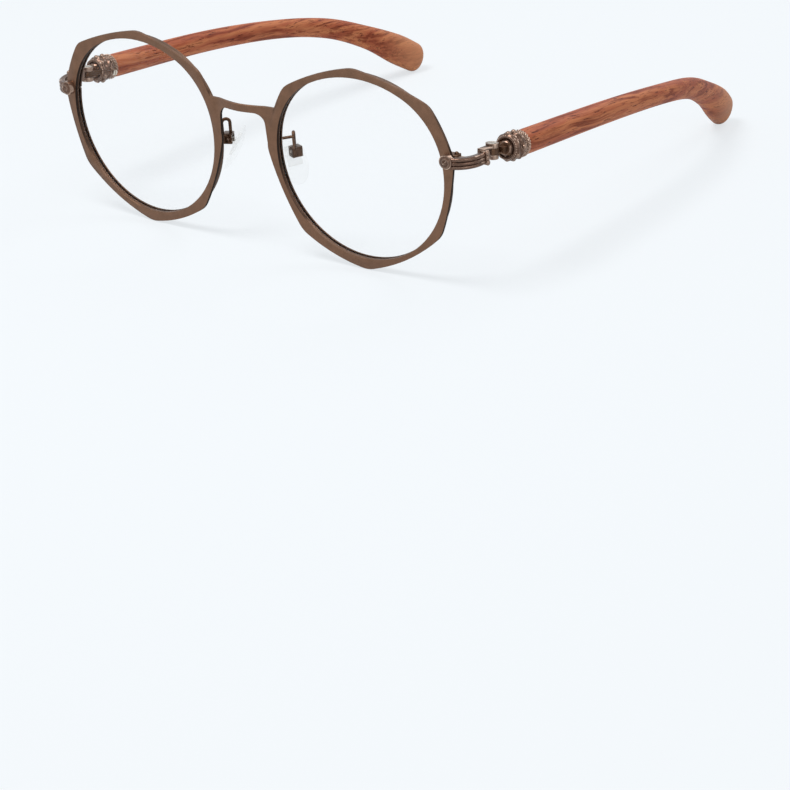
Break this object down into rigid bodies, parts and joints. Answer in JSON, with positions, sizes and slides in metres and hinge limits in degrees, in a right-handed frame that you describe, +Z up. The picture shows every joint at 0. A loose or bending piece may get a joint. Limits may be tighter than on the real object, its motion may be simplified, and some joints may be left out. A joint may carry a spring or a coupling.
{
  "type": "eyeglasses",
  "caption": "Full-rim eyeglasses: round lenses in eight-sided bronze rims, cast end pieces with hinges, and flared wooden temples that fold.",
  "frame": {"origin": "bottom centre of the whole pair's box as it stands with open temples", "axes": "+Z up, the lenses face -Y, the open temples run back towards +Y, and +X is the wearer's left"},
  "size_m": [0.1414, 0.1467, 0.0513],
  "materials": {
    "bronze": "satin antique bronze plating on cast and stamped metal",
    "dark_bronze": "darkened satin bronze plating on drawn wire and small machined pieces",
    "bright_steel": "bright turned steel screws and drawn steel core wire",
    "clear_lens": "polished clear plastic lens, nearly invisible",
    "clear_silicone": "soft translucent silicone, smooth and slightly milky",
    "clear_plastic": "hard clear moulded plastic",
    "rosewood": "oiled reddish wood with fine dark grain along the temple"
  },
  "bodies": {
    "front": {"front_plate": "bronze", "eyewire_left": "dark_bronze", "eyewire_right": "dark_bronze", "lens_left": "clear_lens", "lens_right": "clear_lens", "rim_lock_left": "dark_bronze", "rim_lock_right": "dark_bronze", "rim_lock_screws": "dark_bronze", "end_piece_left": "bronze", "end_piece_right": "bronze", "hinge_screws": "bright_steel", "pad_arm_left": "dark_bronze", "pad_arm_right": "dark_bronze", "pad_box_left": "dark_bronze", "pad_box_right": "dark_bronze", "pad_screws": "bright_steel"},
    "temple_left": {"hinge_leaf_left": "dark_bronze", "ferrule_left": "bronze", "ferrule_screw_left": "bright_steel", "rope_ring_left": "bronze", "core_wire_left": "bright_steel", "wooden_temple_left": "rosewood"},
    "temple_right": {"hinge_leaf_right": "dark_bronze", "ferrule_right": "bronze", "ferrule_screw_right": "bright_steel", "rope_ring_right": "bronze", "core_wire_right": "bright_steel", "wooden_temple_right": "rosewood"},
    "nose_pad_left": {"nose_pad_left": "clear_silicone", "pad_core_left": "clear_plastic"},
    "nose_pad_right": {"nose_pad_right": "clear_silicone", "pad_core_right": "clear_plastic"}
  },
  "joints": [
    {"name": "temple_left_hinge", "type": "hinge", "parent": "front", "child": "temple_left", "pos_m": [0.06553, -0.05806, 0.03208], "axis": [-0.0052, 0.0902, 0.9959], "range_deg": [0, 85]},
    {"name": "temple_right_hinge", "type": "hinge", "parent": "front", "child": "temple_right", "pos_m": [-0.06553, -0.05806, 0.03208], "axis": [-0.0052, -0.0902, -0.9959], "range_deg": [0, 75]},
    {"name": "nose_pad_left_rock", "type": "hinge", "parent": "front", "child": "nose_pad_left", "pos_m": [0.01063, -0.0652, 0.02522], "axis": [0.4067, 0.9132, 0.0258], "range_deg": [-8, 8]},
    {"name": "nose_pad_right_rock", "type": "hinge", "parent": "front", "child": "nose_pad_right", "pos_m": [-0.01063, -0.0652, 0.02522], "axis": [0.4067, -0.9132, -0.0258], "range_deg": [-8, 8]}
  ]
}
